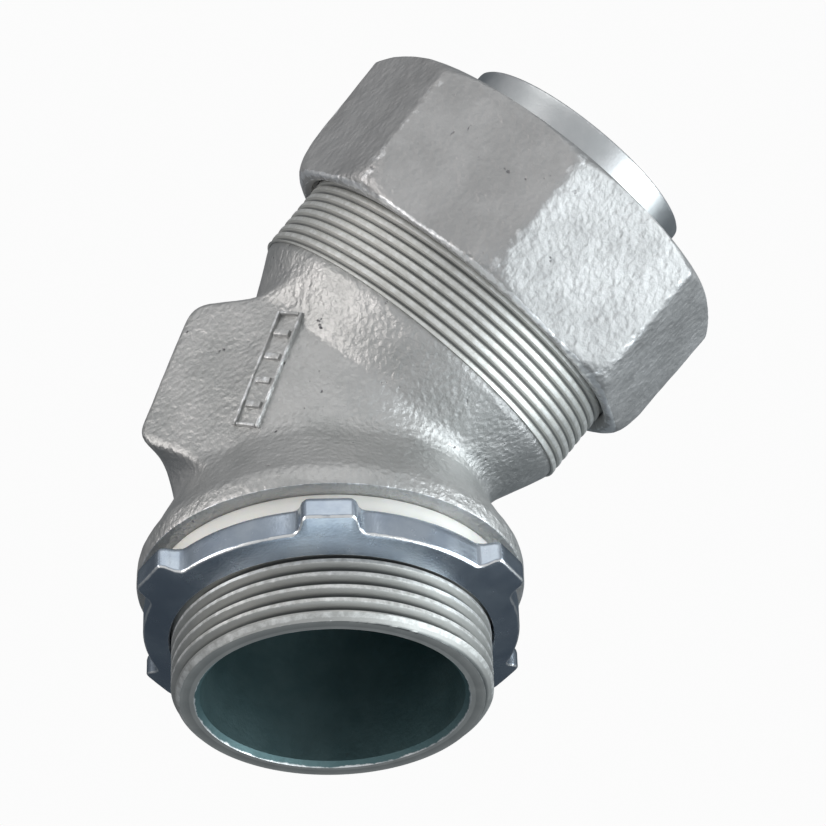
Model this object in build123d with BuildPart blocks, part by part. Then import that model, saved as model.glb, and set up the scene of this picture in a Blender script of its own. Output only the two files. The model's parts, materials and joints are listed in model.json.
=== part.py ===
"""Conduit compression fitting, 45 degree angle, trade size 1-1/2, in millimetres.

Frame: the origin is where the hub axis meets the seat of the hub shoulder.
The hub points down -Z, and the gland points up and toward +X, 45 degrees from +Z.
"""
import math
import os
from build123d import *

# ---- overall sizes -------------------------------------------------------------
elbow_angle = 45.0          # turn between the hub axis and the gland axis
elbow_height = 24.3         # seat plane to the point where the two axes meet
hub_thread_dia = 48.26      # crest diameter of the hub thread

# ---- hub: shank with annular thread ridges, shoulder flange, neck -----------------
hub_pitch = 2.209           # 11.5 threads per inch
hub_thread_depth = 1.35
hub_crest_width = 0.36
hub_root_width = 0.30
hub_wall = 2.93             # thread root to the clear bore
hub_length = 19.3           # seat plane to the end of the hub
hub_first_crest = 2.72      # seat plane to the first crest
hub_end_chamfer = 1.3
throat_chamfer = 0.8
seat_lip_inset = 0.6         # the gland throat narrows by this much ahead of the recess
seat_lip_length = 8.0
neck_wall = 3.85            # wall of the cast tube at the bend
shoulder_width = 5.37       # the flange stands this far outside the thread
flange_rim = 2.8            # straight part of the rim
flange_flare = 16.5         # height where the flare has run into the neck
flange_rim_ease = 0.34      # how slowly the flare leaves the rim
flange_neck_ease = 1.03     # how slowly the flare runs into the neck

# ---- gland end of the body ------------------------------------------------------
gland_start = 20.1          # bend point to the first gland thread
gland_pitch = 1.5875        # 16 threads per inch
gland_thread_depth = 0.52
gland_crest_width = 0.70
gland_root_width = 0.25
gland_crest_count = 16
gland_wall = 3.38           # thread root to the conduit recess
collar_step = 0.6           # the collar is this much under the thread, per side
collar_cone = 9.2           # length over which the collar tapers into the neck
collar_rim = 0.7
mouth_depth = 16.6          # depth of the recess that takes the end of the conduit
mouth_taper = 5.0           # length of the lead-in cone for the sealing ring
mouth_taper_angle = 20.0

# ---- wrench pad on the heel of the bend -----------------------------------------
pad_proud = 0.25            # each flat stands this far outside the neck
pad_setback = 5.6           # the heel face lies this far inside the ball of the bend
pad_heel_length = 21.4      # straight part of the heel face
pad_corner_run = 2.0
pad_side_slope = 11.0       # draft of the two ends of the pad, degrees
pad_inner = -5.2
pad_edge_fillet = 1.1

# ---- plain raised panel on the pad ----------------------------------------------
panel_width = 4.9
panel_length = 20.4
panel_rise = 0.45
panel_border = 0.55
panel_bar_count = 4
panel_bar_width = 1.3
panel_bar_gap = 0.45        # between the ends of a bar and the border
panel_offset = -1.1         # middle of the panel, measured toward the heel
panel_shift = -1.6          # middle of the panel, measured along the bend

# ---- ferrule ---------------------------------------------------------------------
sleeve_outset = 0.15        # the sleeve is this much over the throat, per side
ferrule_wall = 1.1
ferrule_stick = 7.5         # how far the sleeve stands out of the nut
ferrule_cup_width = 4.4     # sleeve outside to cup outside
ferrule_cup_wall = 1.2
ferrule_cup_depth = 6.0
ferrule_cup_clearance = 0.40
ferrule_seat_gap = 0.05
ferrule_lip_round = 0.45

# ---- sealing ring ------------------------------------------------------------------
ring_inset = 0.15           # the bore is this much under the recess, per side
ring_band = 4.6             # full-width part of the ring
ring_nose = 4.2
ring_tip_wall = 0.75
ring_wall_clearance = 0.25
ring_end_clearance = 0.10
ring_standoff = 2.19        # body end face to the full-width part of the ring

# ---- gland nut --------------------------------------------------------------------
nut_wall = 2.4              # thread crest to the flats at the body-side end
nut_draft = 1.4             # degrees per side, larger toward the outer end
nut_setback = 11.9          # first gland thread to the body-side end
nut_phase = -3.0
nut_corner_fillet = 1.6
nut_thread_clearance = 0.15
nut_relief_clearance = 0.10
nut_relief_length = 6.1     # plain stretch between the thread and the lip
nut_mouth_clearance = 0.45  # the mouth is this much over the ring bore, per side
nut_lip = 4.2               # thickness of the inward lip at the outer end
nut_near_round = 2.5        # how far the rounded ends come in at the corners
nut_near_length = 4.6
nut_far_round = 2.2
nut_far_length = 2.6
nut_thread_mouth = 1.1      # lead-in chamfer in front of the thread
nut_rim_chamfer = 0.9

# ---- sealing washer and locknut -------------------------------------------------------
washer_width = 2.77         # the washer stands this far outside the thread
washer_thickness = 3.3
washer_bore_clearance = 0.30
stack_gap = 0.03
locknut_ring_width = 4.27   # hub thread to the gaps between the lugs
locknut_lug_reach = 2.8
locknut_lug_count = 6
locknut_lug_root_width = 9.3
locknut_lug_tip_width = 7.5
locknut_phase = -5.0
locknut_lug_overlap = 1.5
locknut_depth = 5.75        # rear face to the front face at the thread
locknut_dish = 18.5         # slope of the front face, degrees
locknut_thread_clearance = 0.14
locknut_land = 0.3          # flat ring round the thread before the dish starts


def along(distance, direction, start=(0.0, 0.0, 0.0)):
    """Point at a distance from start along a direction."""
    return tuple(s + distance * d for s, d in zip(start, direction))


def ridge_points(radius, depth, pitch, crest, root, first, count):
    """Corners (radius, station) of equal annular ridges, first ridge centre at first."""
    points = []
    for i in range(count):
        middle = first + i * pitch
        points.append((radius - depth, middle - (pitch - root) / 2))
        points.append((radius, middle - crest / 2))
        points.append((radius, middle + crest / 2))
        points.append((radius - depth, middle + (pitch - root) / 2))
    return points


# ---- planes and directions ----------------------------------------------------------
turn = math.radians(elbow_angle)
bend_point = (0.0, 0.0, elbow_height)
gland_axis = (math.sin(turn), 0.0, math.cos(turn))
gland_side = (math.cos(turn), 0.0, -math.sin(turn))
heel = (-math.cos(turn / 2), 0.0, math.sin(turn / 2))
hub_section = Plane.XZ
# section plane of the gland: x is the radius, y runs out along the gland axis
gland_section = Plane(origin=bend_point, x_dir=gland_side, z_dir=(0.0, -1.0, 0.0))
# middle plane of the bend: x runs toward the heel, y runs along the bend
pad_plane = Plane(origin=bend_point, x_dir=heel, z_dir=(0.0, -1.0, 0.0))
gland_line = Axis(bend_point, gland_axis)

# ---- sizes that follow from the ones above -------------------------------------------
hub_radius = hub_thread_dia / 2
shank_root = hub_radius - hub_thread_depth
throat_radius = shank_root - hub_wall
neck_radius = throat_radius + neck_wall
flange_radius = hub_radius + shoulder_width
sleeve_radius = throat_radius + sleeve_outset
cup_radius = sleeve_radius + ferrule_cup_width
mouth_radius = cup_radius + ferrule_cup_clearance
gland_radius = mouth_radius + gland_wall + gland_thread_depth
collar_radius = gland_radius - collar_step
gland_first_crest = gland_start + gland_crest_width / 2
gland_end = gland_first_crest + (gland_crest_count - 1) * gland_pitch + gland_crest_width / 2
mouth_seat = gland_end - mouth_depth
lip_radius = throat_radius - seat_lip_inset
lip_start = mouth_seat - seat_lip_length
mouth_lip_radius = mouth_radius + mouth_taper * math.tan(math.radians(mouth_taper_angle))
pad_half_width = neck_radius + pad_proud
pad_reach = neck_radius - pad_setback
ring_face = gland_end + ring_standoff
ring_back = ring_face + ring_band
nut_start = gland_start + nut_setback
nut_shoulder = ring_back + ring_end_clearance
nut_end = nut_shoulder + nut_lip
nut_length = nut_end - nut_start
nut_plane = Plane(origin=along(nut_start, gland_axis, bend_point), x_dir=gland_side, z_dir=gland_axis)
body_overlap = 2.0          # the shank runs this far into the flange

# ---- wrench pad: the block that the body carries on its heel ---------------------------------
half_heel = pad_heel_length / 2
pad_shoulder = half_heel + pad_corner_run
pad_run_in = (pad_reach - pad_corner_run - pad_inner) * math.tan(math.radians(pad_side_slope))
with BuildPart() as wrench_pad:
    with BuildSketch(pad_plane):
        with BuildLine():
            Polyline((pad_reach, -half_heel), (pad_reach, half_heel),
                     (pad_reach - pad_corner_run, pad_shoulder), (pad_inner, pad_shoulder + pad_run_in),
                     (pad_inner, -pad_shoulder - pad_run_in), (pad_reach - pad_corner_run, -pad_shoulder),
                     close=True)
        make_face()
    extrude(amount=pad_half_width, both=True)
    fillet(wrench_pad.faces().filter_by(Axis.Y).edges(), pad_edge_fillet)

# ---- body -------------------------------------------------------------------------------
hub_crest_count = int((hub_length - hub_first_crest) / hub_pitch) + 1
hub_ridges = ridge_points(hub_radius, hub_thread_depth, hub_pitch, hub_crest_width, hub_root_width,
                          hub_first_crest, hub_crest_count)
hub_ridges = [(r, -z) for r, z in hub_ridges if z < hub_length]

with BuildPart() as body:
    # threaded shank of the hub
    with BuildSketch(hub_section):
        with BuildLine():
            Polyline((0, body_overlap), (0, -hub_length), (shank_root, -hub_length),
                     *reversed(hub_ridges), (shank_root, body_overlap), close=True)
        make_face()
    revolve(axis=Axis.Z)
    with BuildSketch(hub_section):
        tip = hub_radius + 1.0
        with BuildLine():
            Polyline((hub_radius - hub_end_chamfer, -hub_length), (tip, -hub_length),
                     (tip, -hub_length + hub_end_chamfer + 1.0), close=True)
        make_face()
    revolve(axis=Axis.Z, mode=Mode.SUBTRACT)
    # shoulder flange that flares into the neck, and the neck up to the bend
    with BuildSketch(hub_section):
        with BuildLine():
            rim_top = (flange_radius, flange_rim)
            neck_foot = (neck_radius, flange_flare)
            Line((0, 0), (flange_radius, 0))
            Line((flange_radius, 0), rim_top)
            Spline(rim_top, neck_foot, tangents=[(0, 1), (0, 1)],
                   tangent_scalars=[flange_rim_ease, flange_neck_ease])
            Line(neck_foot, (neck_radius, elbow_height))
            Line((neck_radius, elbow_height), (0, elbow_height))
            Line((0, elbow_height), (0, 0))
        make_face()
    revolve(axis=Axis.Z)
    # ball at the bend
    with Locations(bend_point):
        Sphere(neck_radius)
    # gland neck, collar and thread
    gland_ridges = ridge_points(gland_radius, gland_thread_depth, gland_pitch, gland_crest_width,
                                gland_root_width, gland_first_crest, gland_crest_count)
    with BuildSketch(gland_section):
        with BuildLine():
            Polyline((0, 0), (neck_radius, 0), (neck_radius, gland_start - collar_rim - collar_cone),
                     (collar_radius, gland_start - collar_rim), (collar_radius, gland_start),
                     *gland_ridges[1:-1], (0, gland_end), close=True)
        make_face()
    revolve(axis=gland_line)
    # wrench pad, with a flat on each side
    add(wrench_pad.part)
    # plain raised panel: a border with short bars
    flat_plane = pad_plane.offset(pad_half_width)
    bar_pitch = (panel_length - 2 * panel_border) / (panel_bar_count + 0.5)
    with BuildSketch(flat_plane):
        with Locations((panel_offset, panel_shift)):
            Rectangle(panel_width, panel_length)
            Rectangle(panel_width - 2 * panel_border, panel_length - 2 * panel_border, mode=Mode.SUBTRACT)
            with GridLocations(1, bar_pitch, 1, panel_bar_count):
                Rectangle(panel_width - 2 * panel_border - 2 * panel_bar_gap, panel_bar_width)
    extrude(amount=panel_rise)
    # bores: hub throat, bend, gland throat with its seat lip, conduit recess with its lead-in cone
    with Locations(bend_point):
        Sphere(throat_radius, mode=Mode.SUBTRACT)
    with BuildSketch(hub_section):
        with BuildLine():
            Polyline((0, elbow_height), (throat_radius, elbow_height),
                     (throat_radius, -hub_length + throat_chamfer),
                     (throat_radius + throat_chamfer, -hub_length), (0, -hub_length), close=True)
        make_face()
    revolve(axis=Axis.Z, mode=Mode.SUBTRACT)
    with BuildSketch(gland_section):
        with BuildLine():
            Polyline((0, 0), (throat_radius, 0), (throat_radius, lip_start - seat_lip_inset),
                     (lip_radius, lip_start), (lip_radius, mouth_seat), (mouth_radius, mouth_seat),
                     (mouth_radius, gland_end - mouth_taper), (mouth_lip_radius, gland_end),
                     (0, gland_end), close=True)
        make_face()
    revolve(axis=gland_line, mode=Mode.SUBTRACT)
body.part.label = "body"

# ---- sealing washer ---------------------------------------------------------------------
with BuildPart() as sealing_washer:
    with BuildSketch(Plane.XY.offset(-stack_gap - washer_thickness)):
        Circle(hub_radius + washer_width)
        Circle(hub_radius + washer_bore_clearance, mode=Mode.SUBTRACT)
    extrude(amount=washer_thickness)
sealing_washer.part.label = "sealing_washer"

# ---- locknut ------------------------------------------------------------------------------
locknut_rear = 2 * stack_gap + washer_thickness
locknut_bore_radius = hub_radius + locknut_thread_clearance
root_radius = hub_radius + locknut_ring_width
lug_radius = root_radius + locknut_lug_reach
lug_inner = root_radius - locknut_lug_overlap
dish_start = locknut_bore_radius + locknut_land
dish_drop = (lug_radius + 1.0 - dish_start) * math.tan(math.radians(locknut_dish))
locknut_turns = int(locknut_depth / hub_pitch)
with BuildPart() as locknut:
    with BuildSketch(Plane.XY.offset(-locknut_rear)):
        Circle(root_radius)
        for i in range(locknut_lug_count):
            with BuildLine(Plane.XY.rotated((0, 0, locknut_phase + i * 360 / locknut_lug_count))):
                Polyline((lug_inner, -locknut_lug_root_width / 2),
                         (root_radius, -locknut_lug_root_width / 2),
                         (lug_radius, -locknut_lug_tip_width / 2), (lug_radius, locknut_lug_tip_width / 2),
                         (root_radius, locknut_lug_root_width / 2), (lug_inner, locknut_lug_root_width / 2),
                         close=True)
            make_face()
    extrude(amount=-locknut_depth)
    with BuildSketch(hub_section):
        with BuildLine():
            front = -locknut_rear - locknut_depth
            Polyline((dish_start, front), (lug_radius + 1.0, front + dish_drop),
                     (lug_radius + 1.0, front - 1.0), (dish_start, front - 1.0), close=True)
        make_face()
    revolve(axis=Axis.Z, mode=Mode.SUBTRACT)
    grooves = ridge_points(locknut_bore_radius + hub_thread_depth, hub_thread_depth, hub_pitch,
                           hub_crest_width, hub_root_width, locknut_rear + hub_pitch, locknut_turns)
    with BuildSketch(hub_section):
        with BuildLine():
            Polyline((0, -locknut_rear + 1.0), (locknut_bore_radius, -locknut_rear + 1.0),
                     *[(r, -z) for r, z in grooves],
                     (locknut_bore_radius, front - 1.0), (0, front - 1.0), close=True)
        make_face()
    revolve(axis=Axis.Z, mode=Mode.SUBTRACT)
locknut.part.label = "locknut"

# ---- gland nut ------------------------------------------------------------------------------
ring_bore_radius = mouth_radius - ring_inset
nut_bore_radius = gland_radius + nut_thread_clearance
nut_relief_radius = nut_bore_radius + gland_thread_depth + nut_relief_clearance
nut_mouth_radius = ring_bore_radius + nut_mouth_clearance
nut_crest_count = int((nut_shoulder - nut_relief_length - nut_start) / gland_pitch)
corner_radius = (gland_radius + nut_wall) / math.cos(math.pi / 8)
nut_outside = corner_radius + nut_length * math.tan(math.radians(nut_draft)) + 1.0
nut_grooves = ridge_points(nut_bore_radius + gland_thread_depth, gland_thread_depth, gland_pitch,
                           gland_crest_width, gland_root_width, nut_start + nut_thread_mouth + gland_pitch,
                           nut_crest_count)

with BuildPart() as gland_nut:
    with BuildSketch(nut_plane) as nut_outline:
        RegularPolygon(corner_radius, 8, rotation=nut_phase)
        fillet(nut_outline.vertices(), nut_corner_fillet)
    extrude(amount=nut_length, taper=-nut_draft)
    # rounded ends: everything outside this turned outline goes
    with BuildSketch(gland_section):
        with BuildLine():
            near_flat = (corner_radius - nut_near_round, nut_start)
            near_side = (corner_radius + 0.6, nut_start + nut_near_length)
            Line((0, nut_start), near_flat)
            Spline(near_flat, near_side, tangents=[(1, 0.25), (0.12, 1)])
            Line(near_side, (nut_outside, nut_end - nut_far_length))
            Line((nut_outside, nut_end - nut_far_length), (corner_radius - nut_far_round, nut_end))
            Line((corner_radius - nut_far_round, nut_end), (0, nut_end))
            Line((0, nut_end), (0, nut_start))
        make_face()
    revolve(axis=gland_line, mode=Mode.INTERSECT)
    # thread, relief and mouth
    with BuildSketch(gland_section):
        with BuildLine():
            Polyline((0, nut_start), (nut_bore_radius + nut_thread_mouth, nut_start),
                     (nut_bore_radius, nut_start + nut_thread_mouth), *nut_grooves,
                     (nut_relief_radius, nut_grooves[-1][1]), (nut_relief_radius, nut_shoulder),
                     (nut_mouth_radius, nut_shoulder), (nut_mouth_radius, nut_end - nut_rim_chamfer),
                     (nut_mouth_radius + nut_rim_chamfer, nut_end), (0, nut_end), close=True)
        make_face()
    revolve(axis=gland_line, mode=Mode.SUBTRACT)
gland_nut.part.label = "gland_nut"

# ---- sealing ring -----------------------------------------------------------------------------
ring_tip = ring_face - ring_nose
ring_outer_radius = nut_bore_radius - ring_wall_clearance
ring_nose_radius = ring_bore_radius + ring_tip_wall + ring_nose * math.tan(math.radians(mouth_taper_angle))
with BuildPart() as sealing_ring:
    with BuildSketch(gland_section):
        with BuildLine():
            Polyline((ring_bore_radius, ring_tip), (ring_bore_radius + ring_tip_wall, ring_tip),
                     (ring_nose_radius, ring_face), (ring_outer_radius, ring_face),
                     (ring_outer_radius, ring_back), (ring_bore_radius, ring_back), close=True)
        make_face()
    revolve(axis=gland_line)
sealing_ring.part.label = "sealing_ring"

# ---- ferrule ------------------------------------------------------------------------------------
sleeve_inner = sleeve_radius - ferrule_wall
sleeve_end = nut_end + ferrule_stick
ferrule_foot = mouth_seat + ferrule_seat_gap
with BuildPart() as ferrule:
    with BuildSketch(gland_section):
        with BuildLine():
            Polyline((sleeve_inner, ferrule_foot), (cup_radius, ferrule_foot),
                     (cup_radius, ferrule_foot + ferrule_cup_depth),
                     (cup_radius - ferrule_cup_wall, ferrule_foot + ferrule_cup_depth),
                     (cup_radius - ferrule_cup_wall, ferrule_foot + ferrule_cup_wall),
                     (sleeve_radius, ferrule_foot + ferrule_cup_wall), (sleeve_radius, sleeve_end),
                     (sleeve_inner, sleeve_end), close=True)
        make_face()
    revolve(axis=gland_line)
    fillet(ferrule.edges().group_by(gland_line)[-1], ferrule_lip_round)
ferrule.part.label = "ferrule"

# ---- write one file per piece ----------------------------------------------------------------------
os.makedirs("parts", exist_ok=True)
for piece in (body, sealing_washer, locknut, gland_nut, sealing_ring, ferrule):
    export_step(piece.part, f"parts/{piece.part.label}.step")
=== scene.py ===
"""Looks for the angled conduit compression fitting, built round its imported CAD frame.

Lengths are in millimetres until a mesh is written, which turns them into metres.
"""
import json
import math

import bmesh
import bpy
import numpy as np
from mathutils import Matrix, Vector, noise


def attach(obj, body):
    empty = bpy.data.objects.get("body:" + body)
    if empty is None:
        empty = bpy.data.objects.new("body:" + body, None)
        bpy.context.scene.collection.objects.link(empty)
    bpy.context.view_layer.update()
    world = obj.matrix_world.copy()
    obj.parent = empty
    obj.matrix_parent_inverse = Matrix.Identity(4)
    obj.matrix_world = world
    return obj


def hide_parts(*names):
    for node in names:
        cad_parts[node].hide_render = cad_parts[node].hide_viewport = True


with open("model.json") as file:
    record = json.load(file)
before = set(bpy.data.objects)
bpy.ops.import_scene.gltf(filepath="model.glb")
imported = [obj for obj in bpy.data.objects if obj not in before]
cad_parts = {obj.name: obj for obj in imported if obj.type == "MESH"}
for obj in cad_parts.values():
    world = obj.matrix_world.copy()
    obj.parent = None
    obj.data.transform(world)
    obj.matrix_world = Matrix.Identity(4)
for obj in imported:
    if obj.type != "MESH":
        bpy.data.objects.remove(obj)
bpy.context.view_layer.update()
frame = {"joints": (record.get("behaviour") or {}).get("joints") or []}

MM = 0.001
FULL_TURN = 2 * math.pi

# ---- axes of the fitting, from the frame ------------------------------------------
joints = {joint["name"]: joint for joint in frame["joints"]}
bend = np.array(joints["nut_turn"]["pos_m"]) / MM
gland_axis = np.array(joints["nut_turn"]["axis"])
gland_axis = gland_axis / np.linalg.norm(gland_axis)
across = np.array([0.0, 1.0, 0.0])
up = np.array([0.0, 0.0, 1.0])
sideways = np.array([1.0, 0.0, 0.0])
gland_side = np.cross(across, gland_axis)
bend_angle = math.acos(float(gland_axis @ up))
heel = np.array([-math.cos(bend_angle / 2), 0.0, math.sin(bend_angle / 2)])
along_pad = np.cross(across, heel)

# ---- sizes of the body ---------------------------------------------------------------
hub_radius = 24.13
hub_end = 19.3
hub_pitch = 2.209
hub_depth = 1.35
hub_first_crest = 2.72
hub_chamfer = 1.3
throat_radius = 19.85
throat_chamfer = 0.8
neck_radius = 23.7
flange_radius = 29.5
gland_start = 20.1
gland_radius = 28.7
gland_pitch = 1.5875
gland_depth = 0.52
gland_end = 44.61
collar_radius = 28.1
mouth_seat = 28.01
lip_radius = 19.25
lip_start = 20.01
mouth_radius = 24.8
mouth_taper = 5.0
mouth_lip = 26.6
pad_half_width = 23.95
pad_reach = 18.15
pad_half_length = 12.7
pad_slope = math.radians(11.0)
pad_slope_from = 16.0
pad_corner_at = 10.7
lip_ease = 0.6

# ---- sizes of the nut, ferrule, washer and locknut -----------------------------------
nut_start = 31.35
nut_end = 55.70
nut_flat = 31.15
nut_draft = math.tan(math.radians(1.4))
nut_turned = math.radians(-3.0)
nut_bore = 28.85
nut_relief = 29.47
nut_mouth = 25.1
nut_lip = 4.2
sleeve_radius = 20.0
sleeve_wall = 1.1
sleeve_end = 63.2
cup_radius = 24.4
cup_depth = 6.0
cup_wall = 1.2
washer_rear = 0.03
washer_thickness = 3.3
washer_outer = 26.9
washer_inner = 24.43
locknut_rear = 3.36
locknut_depth = 5.75
locknut_root = 28.4
lug_reach = 2.8
lug_count = 6
lug_root_half = 4.65
lug_tip_half = 3.75
lug_turned = math.radians(-5.0)
locknut_bore = 24.27
dish = math.tan(math.radians(18.5))


def smooth_step(value, low, high):
    """0 below low, 1 above high, eased between."""
    t = np.clip((value - low) / (high - low), 0.0, 1.0)
    return t * t * (3 - 2 * t)


def soft_min(a, b, blend):
    """Smaller of two distances with a rounded inner corner."""
    h = np.clip(0.5 + 0.5 * (b - a) / blend, 0.0, 1.0)
    return b + (a - b) * h - blend * h * (1 - h)


def soft_max(a, b, blend):
    return -soft_min(-a, -b, blend)


def lumps(points, size, seed=0.0):
    """Smooth noise, about -1 to 1, with bumps of the given size."""
    shift = Vector((seed, seed * 0.7, -seed))
    flat = points.reshape(-1, 3) / size
    values = [noise.noise(Vector(p) + shift) for p in flat]
    return np.array(values).reshape(points.shape[:-1])


# ---- rings: every turned or cast piece is a stack of rings of points --------------------
class Stack:
    """Rings of points round an axis, each with a value that marks edge wear and painted light, and a material
    slot.
    """

    def __init__(self, angles, origin, axis, side):
        self.angles = angles
        self.origin = np.array(origin, float)
        self.axis = np.array(axis, float)
        self.side = np.array(side, float)
        self.other = np.cross(self.axis, self.side)
        self.rings = []
        self.wear_and_painted_light = []
        self.slots = []

    def place(self, radius, height):
        """Points at a radius and a height, each one number or one per angle."""
        radius = np.broadcast_to(radius, self.angles.shape)
        height = np.broadcast_to(height, self.angles.shape)
        outward = np.outer(np.cos(self.angles), self.side) + np.outer(np.sin(self.angles), self.other)
        return self.origin + outward * radius[:, None] + np.outer(height, self.axis)

    def add(self, points, wear_and_painted_light=0.0, slot=0):
        self.rings.append(points)
        self.wear_and_painted_light.append(np.broadcast_to(wear_and_painted_light, self.angles.shape))
        self.slots.append(slot)

    def ring(self, radius, height, wear_and_painted_light=0.0, slot=0):
        self.add(self.place(radius, height), wear_and_painted_light, slot)

    def corner(self, radius, height, wear_and_painted_light=1.0, slot=0):
        """A ring that marks an edge."""
        self.ring(radius, height, wear_and_painted_light, slot)

    def thread(self, radius, depth, pitch, low, high, crest, steps=10, start=0.0, limit=None, slot=0):
        """Helical thread from low to high. depth below 0 cuts outward, as in a nut."""
        turn = self.angles / FULL_TURN
        first = math.floor((low - start) / pitch) - 1
        last = math.ceil((high - start) / pitch)
        for step in range(first * steps, last * steps + 1):
            rise = start + pitch * (step / steps + turn)
            height = np.clip(rise, low, high)
            phase = np.abs((height - start) / pitch - turn - np.round((height - start) / pitch - turn))
            fall = smooth_step(phase, crest / 2, 0.5 - 0.04)
            reach = radius - depth * fall
            if limit is not None:
                reach = np.minimum(reach, limit(height))
            # the value is 1 on crests and 0 in roots; the thread materials paint highlight on the crests and
            # shade in the roots from it
            self.ring(reach, height, 1.0 - fall, slot)

    def build(self, name, materials, body, nodes, sharp=38.0):
        """Write the closed mesh, ride it on its body and let it stand for its CAD nodes."""
        rings = np.array(self.rings) * MM
        count, width = rings.shape[:2]
        mesh = bpy.data.meshes.new(name)
        bm = bmesh.new()
        wear_and_light_layer = bm.verts.layers.float.new("wear_and_painted_light")
        grid = []
        for ring, wear_and_painted_light in zip(rings, self.wear_and_painted_light):
            row = []
            for point, worn_and_lit in zip(ring, wear_and_painted_light):
                vertex = bm.verts.new(point)
                vertex[wear_and_light_layer] = float(worn_and_lit)
                row.append(vertex)
            grid.append(row)
        for j in range(count):
            below = grid[j]
            above = grid[(j + 1) % count]
            for i in range(width - 1):
                face = bm.faces.new((below[i], below[i + 1], above[i + 1], above[i]))
                face.material_index = self.slots[j]
                face.smooth = True
        bmesh.ops.remove_doubles(bm, verts=bm.verts, dist=2e-6)
        bmesh.ops.dissolve_degenerate(bm, edges=bm.edges, dist=2e-6)
        bmesh.ops.recalc_face_normals(bm, faces=bm.faces)
        bm.to_mesh(mesh)
        bm.free()
        mesh.set_sharp_from_angle(angle=math.radians(sharp))
        return finish_piece(name, mesh, materials, body, nodes)


def finish_piece(name, mesh, materials, body, nodes):
    piece = bpy.data.objects.new(name, mesh)
    bpy.context.collection.objects.link(piece)
    for material in materials:
        mesh.materials.append(material)
    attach(piece, body)
    if nodes:
        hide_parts(*nodes)
    return piece


def even_angles(count):
    return np.linspace(0.0, FULL_TURN, count + 1)


def crowded_angles(count, centres, half_band, density):
    """Angles that stand closer together near the given directions."""
    fine = np.linspace(0.0, FULL_TURN, 7201)
    weight = np.ones_like(fine)
    for centre in centres:
        away = np.abs((fine - centre + math.pi) % FULL_TURN - math.pi)
        weight += (density - 1) * np.exp(-((away / half_band) ** 2))
    total = np.concatenate([[0.0], np.cumsum((weight[1:] + weight[:-1]) / 2)])
    return np.interp(np.linspace(0.0, total[-1], count + 1), total, fine)


# ---- materials ---------------------------------------------------------------------------
def new_group(name, inputs, outputs):
    """Empty shader group with named sockets: (name, kind, default)."""
    tree = bpy.data.node_groups.new(name, "ShaderNodeTree")
    for label, kind, default in inputs:
        socket = tree.interface.new_socket(label, in_out="INPUT", socket_type=kind)
        socket.default_value = default
    for label, kind in outputs:
        tree.interface.new_socket(label, in_out="OUTPUT", socket_type=kind)
    return tree, tree.nodes.new("NodeGroupInput"), tree.nodes.new("NodeGroupOutput")


def maths(tree, operation, first, second=None, clamp=False):
    """Math node fed by sockets or plain numbers. Gives its output socket."""
    made = tree.nodes.new("ShaderNodeMath")
    made.operation = operation
    made.use_clamp = clamp
    for index, value in enumerate((first, second)):
        if value is None:
            continue
        if isinstance(value, (int, float)):
            made.inputs[index].default_value = value
        else:
            tree.links.new(value, made.inputs[index])
    return made.outputs[0]


def blend_colours(tree, share, first, second):
    made = tree.nodes.new("ShaderNodeMix")
    made.data_type = "RGBA"
    for socket, value in ((made.inputs[0], share), (made.inputs[6], first), (made.inputs[7], second)):
        if isinstance(value, tuple):
            socket.default_value = value
        else:
            tree.links.new(value, socket)
    return made.outputs[2]


def span(tree, value, low, high, to_low=0.0, to_high=1.0):
    made = tree.nodes.new("ShaderNodeMapRange")
    made.interpolation_type = "SMOOTHSTEP"
    tree.links.new(value, made.inputs[0])
    for index, number in enumerate((low, high, to_low, to_high)):
        made.inputs[index + 1].default_value = number
    return made.outputs[0]


def object_millimetres(tree):
    coordinates = tree.nodes.new("ShaderNodeTexCoord")
    scaled = tree.nodes.new("ShaderNodeVectorMath")
    scaled.operation = "SCALE"
    scaled.inputs["Scale"].default_value = 1 / MM
    tree.links.new(coordinates.outputs["Object"], scaled.inputs[0])
    return scaled.outputs[0]


def noise_socket(tree, where, scale, detail=2.0, rough=0.5):
    made = tree.nodes.new("ShaderNodeTexNoise")
    tree.links.new(where, made.inputs["Vector"])
    if isinstance(scale, (int, float)):
        made.inputs["Scale"].default_value = scale
    else:
        tree.links.new(scale, made.inputs["Scale"])
    made.inputs["Detail"].default_value = detail
    made.inputs["Roughness"].default_value = rough
    return made.outputs[0]


def make_cast_grain():
    """Orange-peel surface of a hot-dipped casting: height, and small dark pits."""
    tree, given, result = new_group(
        "cast_grain",
        [("Scale", "NodeSocketFloat", 1.0), ("Coarse", "NodeSocketFloat", 0.5),
         ("Pits", "NodeSocketFloat", 0.5)],
        [("Height", "NodeSocketFloat"), ("Pits", "NodeSocketFloat")],
    )
    where = object_millimetres(tree)
    fine = noise_socket(tree, where, maths(tree, "MULTIPLY", given.outputs["Scale"], 1.25), 3.0, 0.55)
    cells = tree.nodes.new("ShaderNodeTexVoronoi")
    cells.feature = "SMOOTH_F1"
    tree.links.new(where, cells.inputs["Vector"])
    tree.links.new(maths(tree, "MULTIPLY", given.outputs["Scale"], 0.85), cells.inputs["Scale"])
    cells.inputs["Smoothness"].default_value = 0.6
    peel = maths(tree, "MULTIPLY", cells.outputs["Distance"], given.outputs["Coarse"])
    height = maths(tree, "ADD", fine, peel)
    spots = noise_socket(tree, where, 0.55, 2.0, 0.6)
    pits = maths(tree, "MULTIPLY", span(tree, spots, 0.70, 0.78), given.outputs["Pits"])
    height = maths(tree, "SUBTRACT", height, maths(tree, "MULTIPLY", pits, 1.2))
    tree.links.new(height, result.inputs["Height"])
    tree.links.new(pits, result.inputs["Pits"])
    return tree


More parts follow.
